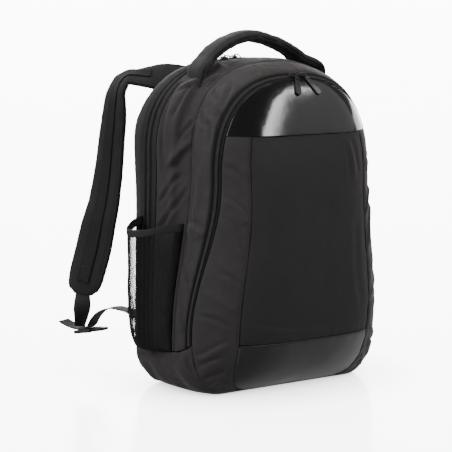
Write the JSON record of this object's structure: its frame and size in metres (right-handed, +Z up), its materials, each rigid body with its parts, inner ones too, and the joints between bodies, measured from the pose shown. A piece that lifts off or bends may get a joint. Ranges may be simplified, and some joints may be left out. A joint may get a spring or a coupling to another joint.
{
  "type": "laptop backpack",
  "caption": "Soft laptop backpack with a padded handle, contoured shoulder straps, net side pockets, arched zips and a patched front door, empty and standing on its flat base.",
  "frame": {"origin": "the middle of the flat base, on the floor", "axes": "+Z up, front door towards -Y, +X to the right seen from the front"},
  "size_m": [0.43, 0.3553, 0.5003],
  "materials": {
    "cloth": "matte black polyester, fine weave",
    "gloss_patch": "glossy coated black cloth",
    "satin_patch": "satin coated dark grey cloth",
    "zip_tape": "matte black zip tape",
    "webbing": "ribbed black webbing",
    "net": "fine black net",
    "plastic": "moulded black plastic",
    "metal": "gunmetal, satin"
  },
  "bodies": {
    "root": {"rear_gusset": "cloth", "main_zip": "zip_tape", "main_gusset": "cloth", "front_gusset": "cloth", "front_zip": "zip_tape", "base": "cloth", "door_top_patch": "gloss_patch", "door_centre": "cloth", "door_bottom_patch": "satin_patch", "door_side_left": "cloth", "door_side_right": "cloth", "back_panel": "cloth", "pocket_left": "net", "pocket_hem_left": "webbing", "pocket_right": "net", "pocket_hem_right": "webbing", "handle": "cloth", "handle_foot_left": "cloth", "handle_foot_right": "cloth", "strap_pad_left": "cloth", "strap_facing_left": "webbing", "strap_drop_left": "webbing", "load_web_left": "webbing", "ladder_lock_left": "plastic", "strap_pad_right": "cloth", "strap_facing_right": "webbing", "strap_drop_right": "webbing", "load_web_right": "webbing", "ladder_lock_right": "plastic", "front_slider_1": "metal", "front_pull_1": "plastic", "front_slider_2": "metal", "front_pull_2": "metal", "main_slider_1": "metal", "main_ring_1": "metal", "main_slider_2": "metal", "main_ring_2": "metal"}
  },
  "joints": []
}
